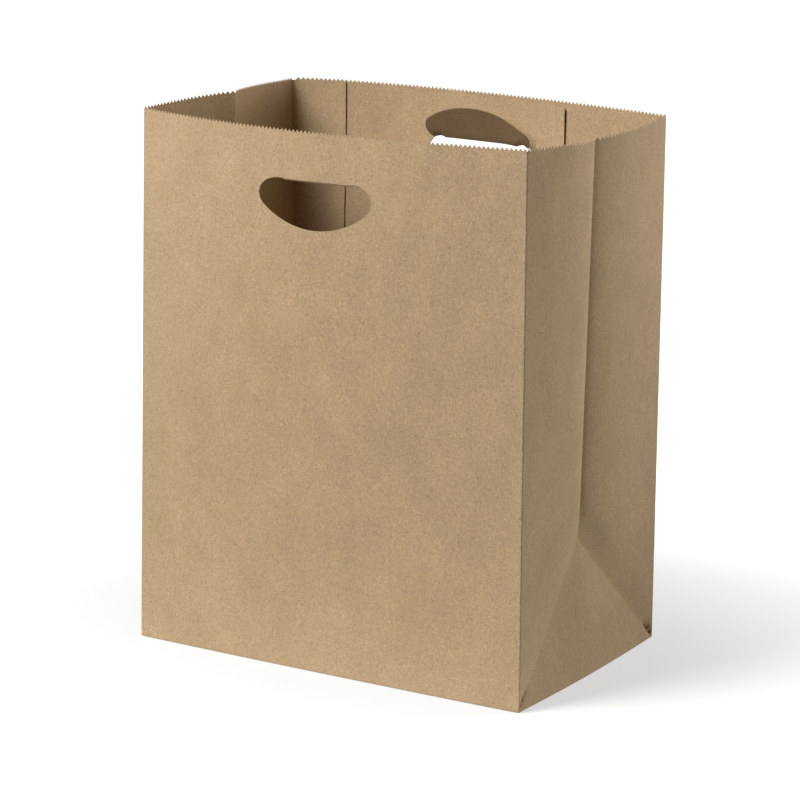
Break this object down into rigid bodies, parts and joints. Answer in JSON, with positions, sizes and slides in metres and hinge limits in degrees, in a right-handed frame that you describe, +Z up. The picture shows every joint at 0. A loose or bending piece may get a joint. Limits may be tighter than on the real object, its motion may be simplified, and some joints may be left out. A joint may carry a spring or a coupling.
{
  "type": "paper carrier bag",
  "caption": "Open kraft paper bag with a folded block bottom, pleated side gussets, a serrated rim and a D-shaped finger hole in the front and back walls.",
  "frame": {"origin": "on the standing surface, under the centre of the bag's bottom", "axes": "+Z up through the open top, front wall towards -Y, the folded gussets at -X and +X"},
  "size_m": [0.2642, 0.2005, 0.3211],
  "materials": {
    "bag_paper": "plain unbleached kraft paper, matt, finely fibrous",
    "patch_paper": "plain unbleached kraft paper, matt, finely fibrous"
  },
  "bodies": {
    "root": {"bag_body": "bag_paper", "front_handle_patch": "patch_paper", "back_handle_patch": "patch_paper"}
  },
  "joints": []
}
